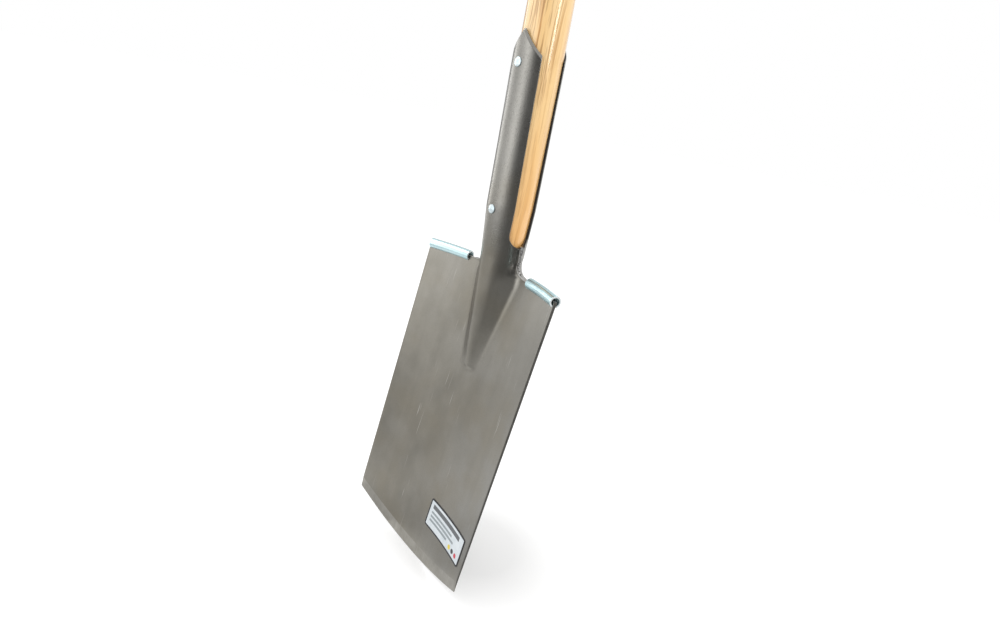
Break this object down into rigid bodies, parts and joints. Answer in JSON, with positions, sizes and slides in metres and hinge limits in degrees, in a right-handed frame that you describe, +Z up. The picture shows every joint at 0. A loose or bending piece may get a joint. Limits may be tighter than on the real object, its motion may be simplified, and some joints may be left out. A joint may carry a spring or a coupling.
{
  "type": "construction spade",
  "caption": "Digging spade: dished steel blade with slit-tube treads, front and rear straps riveted to a straight ash shaft, and a turned T grip at the top.",
  "frame": {"origin": "bottom centre of the bounding box, on the floor under the cutting edge; the shaft's axis is parallel to Z, 20.1 mm behind the origin", "axes": "+Z up along the shaft, +X to the spade's left when it is used, seen as right from the front; the hollow front of the blade faces -Y"},
  "size_m": [0.191, 0.089, 1.1605],
  "materials": {
    "forged_steel": "bare forged steel, satin, clear lacquered",
    "weld_steel": "ground weld",
    "zinc_plate": "bright zinc plated",
    "ash_wood": "clear lacquered ash",
    "wedge_wood": "darker hardwood",
    "pin_steel": "plain steel",
    "label_film": "pale satin film with a dark border"
  },
  "bodies": {
    "root": {"blade": "forged_steel", "rear_strap": "forged_steel", "neck_weld_left": "weld_steel", "neck_weld_right": "weld_steel", "tread_left": "zinc_plate", "tread_right": "zinc_plate", "upper_rivet": "zinc_plate", "lower_rivet": "zinc_plate", "handle_shaft": "ash_wood", "t_grip": "ash_wood", "grip_wedge": "wedge_wood", "grip_pin": "pin_steel", "blade_label": "label_film"}
  },
  "joints": []
}
